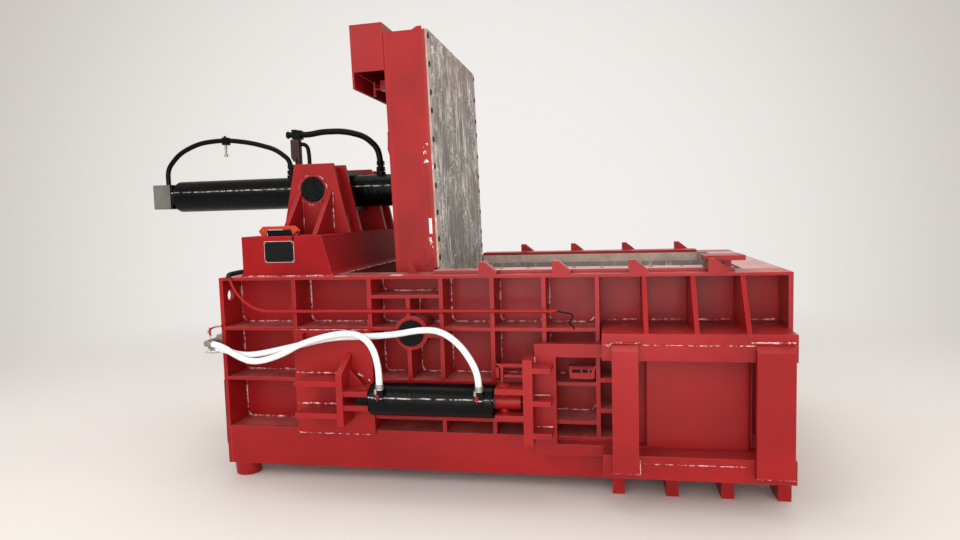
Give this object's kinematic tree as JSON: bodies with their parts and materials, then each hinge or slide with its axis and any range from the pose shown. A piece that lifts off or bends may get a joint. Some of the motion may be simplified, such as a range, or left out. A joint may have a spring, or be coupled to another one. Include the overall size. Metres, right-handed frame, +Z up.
{
  "type": "recycling baler",
  "caption": "Hydraulic scrap-metal baler: open-topped press chamber with shear blades, swinging lid on a cylinder, main ram, side pusher and sliding outlet gate.",
  "frame": {"origin": "floor level below the outer face of the rear end plate, on the press chamber's upright middle plane", "axes": "+X along the press chamber from the rear end plate to the outlet end, +Y across it away from the outlet side, +Z up"},
  "size_m": [4.159, 4.095, 2.633],
  "materials": {
    "red_enamel": "glossy enamel over rolled and welded plate",
    "black_paint": "semi-gloss black",
    "worn_steel": "dull worn plate with scratches",
    "bare_blade": "ground steel, partly dull",
    "chrome_rod": "polished",
    "orange_enamel": "glossy enamel",
    "hose_rubber": "smooth dull rubber",
    "zinc_fitting": "zinc-plated",
    "grey_steel": "dull grey"
  },
  "bodies": {
    "frame": {"blade_holder_far": "red_enamel", "blade_holder_near": "red_enamel", "chamber_floor": "worn_steel", "far_liner": "worn_steel", "far_wall_plate": "red_enamel", "far_wall_ribs": "red_enamel", "front_end_wall": "red_enamel", "gate_cylinder": "black_paint", "gate_cylinder_mount": "red_enamel", "gate_hose_front": "hose_rubber", "gate_hose_rear": "hose_rubber", "gate_mount_pin": "grey_steel", "handle_plate": "orange_enamel", "hinge_shaft": "black_paint", "hose_manifold": "zinc_fitting", "limit_bracket": "red_enamel", "main_cylinder": "black_paint", "main_cylinder_plate": "red_enamel", "near_liner": "worn_steel", "near_wall_plate": "red_enamel", "near_wall_ribs": "red_enamel", "outlet_bottom_beam": "red_enamel", "outlet_post_left": "red_enamel", "outlet_post_right": "red_enamel", "outlet_top_beam": "red_enamel", "pusher_cylinder": "black_paint", "pusher_stand": "red_enamel", "pusher_tunnel": "red_enamel", "ram_cover": "red_enamel", "rear_end_plate": "red_enamel", "rear_housing": "red_enamel", "round_foot_far": "black_paint", "round_foot_near": "black_paint", "shear_blade_far": "bare_blade", "shear_blade_near": "bare_blade", "side_pipe": "red_enamel", "trunnion_support_far": "red_enamel", "trunnion_support_near": "red_enamel"},
    "lid": {"lid_back": "red_enamel", "lid_blade_far": "bare_blade", "lid_blade_near": "bare_blade", "lid_head_box": "red_enamel", "lid_latch": "red_enamel", "lid_shell": "red_enamel", "lid_spring": "grey_steel", "lid_wear_plate": "worn_steel"},
    "lid_cylinder": {"lid_cylinder": "black_paint", "lid_pipe_front": "black_paint", "lid_pipe_rear": "black_paint", "lid_pipe_short": "black_paint"},
    "lid_rod": {"lid_pin": "grey_steel", "lid_rod": "chrome_rod"},
    "gate": {"gate_bracket": "red_enamel", "gate_frame": "red_enamel", "gate_pin": "grey_steel", "gate_rod": "red_enamel"},
    "main_ram": {"main_ram": "red_enamel", "main_rod": "chrome_rod"},
    "side_pusher": {"pusher_head": "red_enamel", "pusher_rod": "chrome_rod"}
  },
  "joints": [
    {"name": "lid_hinge", "type": "hinge", "parent": "frame", "child": "lid", "pos_m": [1.15, 0, 0.866], "axis": [0, 1, 0], "range_deg": [0, 91.35]},
    {"name": "lid_cylinder_tilt", "type": "hinge", "parent": "frame", "child": "lid_cylinder", "pos_m": [0.392, 0, 1.69693], "axis": [0, 1, 0], "range_deg": [0, 24.06]},
    {"name": "lid_rod_slide", "type": "slide", "parent": "lid_cylinder", "child": "lid_rod", "axis": [1, 0, 0], "range_m": [0, 1.1256]},
    {"name": "gate_slide", "type": "slide", "parent": "frame", "child": "gate", "axis": [1, 0, 0], "range_m": [0, 0.487]},
    {"name": "main_ram_slide", "type": "slide", "parent": "frame", "child": "main_ram", "axis": [1, 0, 0], "range_m": [0, 1.19]},
    {"name": "side_pusher_slide", "type": "slide", "parent": "frame", "child": "side_pusher", "axis": [0, -1, 0], "range_m": [0, 1.658]}
  ],
  "couplings": [
    {"joint": "lid_cylinder_tilt", "follows": "lid_hinge", "ratio": 0.26329},
    {"joint": "lid_rod_slide", "follows": "lid_hinge", "m_per_rad": 0.70585}
  ]
}
